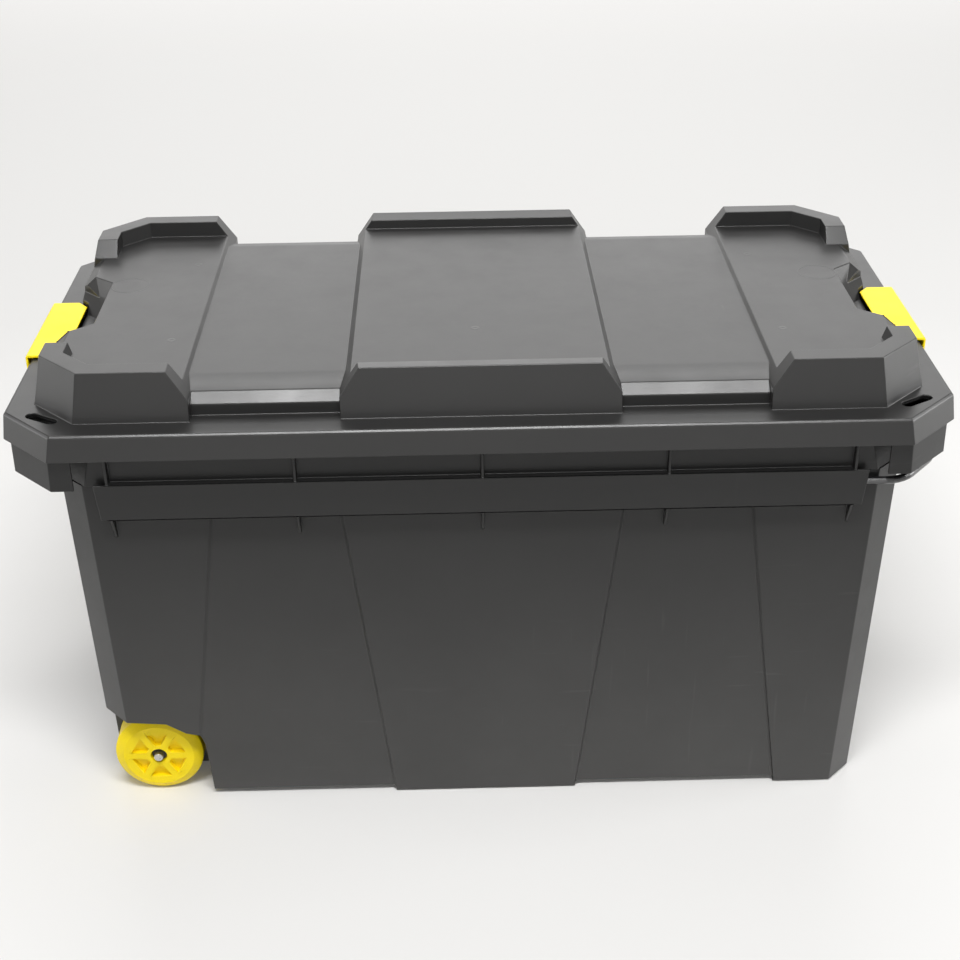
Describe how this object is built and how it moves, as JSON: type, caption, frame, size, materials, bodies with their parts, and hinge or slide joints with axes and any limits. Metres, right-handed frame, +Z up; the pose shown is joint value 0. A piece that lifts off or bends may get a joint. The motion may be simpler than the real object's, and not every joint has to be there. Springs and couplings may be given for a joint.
{
  "type": "wheeled storage box",
  "caption": "Moulded plastic storage box with a ribbed lift-off lid, end latches, wheels on a steel axle and a sliding bent-rod pull handle.",
  "frame": {"origin": "on the floor under the middle of the box", "axes": "+X along the box towards the pull handle, with the wheels at -X; -Y is the long front side; +Z up"},
  "size_m": [0.9776, 0.519, 0.524],
  "materials": {
    "tub_plastic": "fine moulded grain, satin",
    "lid_plastic": "fine moulded grain, satin sheen",
    "yellow_plastic": "satin",
    "black_steel": "gloss black coating",
    "bright_steel": "drawn steel",
    "black_plastic": "satin"
  },
  "bodies": {
    "box": {"tub": "tub_plastic", "latch_pin_left": "bright_steel", "latch_pin_right": "bright_steel", "axle": "bright_steel", "axle_cap_front": "black_plastic", "axle_cap_rear": "black_plastic"},
    "lid": {"lid": "lid_plastic"},
    "latch_left": {"latch_left": "yellow_plastic"},
    "latch_right": {"latch_right": "yellow_plastic"},
    "wheel_front": {"wheel_front": "yellow_plastic"},
    "wheel_rear": {"wheel_rear": "yellow_plastic"},
    "handle": {"pull_handle": "black_steel"}
  },
  "joints": [
    {"name": "lid_lift", "type": "slide", "parent": "box", "child": "lid", "axis": [0, 0, 1], "range_m": [0, 0.032]},
    {"name": "latch_left_swing", "type": "hinge", "parent": "box", "child": "latch_left", "pos_m": [-0.4825, 0, 0.427], "axis": [0, -1, 0], "range_deg": [0, 115]},
    {"name": "latch_right_swing", "type": "hinge", "parent": "box", "child": "latch_right", "pos_m": [0.4825, 0, 0.427], "axis": [0, 1, 0], "range_deg": [0, 115]},
    {"name": "wheel_front_spin", "type": "hinge", "parent": "box", "child": "wheel_front", "pos_m": [-0.366, 0, 0.049], "axis": [0, 1, 0], "continuous": true},
    {"name": "wheel_rear_spin", "type": "hinge", "parent": "box", "child": "wheel_rear", "pos_m": [-0.366, 0, 0.049], "axis": [0, 1, 0], "continuous": true},
    {"name": "handle_slide", "type": "slide", "parent": "box", "child": "handle", "axis": [1, 0, 0], "range_m": [0, 0.22]}
  ],
  "couplings": [
    {"joint": "latch_left_swing", "follows": "lid_lift", "rad_per_m": 62.5},
    {"joint": "latch_right_swing", "follows": "lid_lift", "rad_per_m": 62.5}
  ]
}
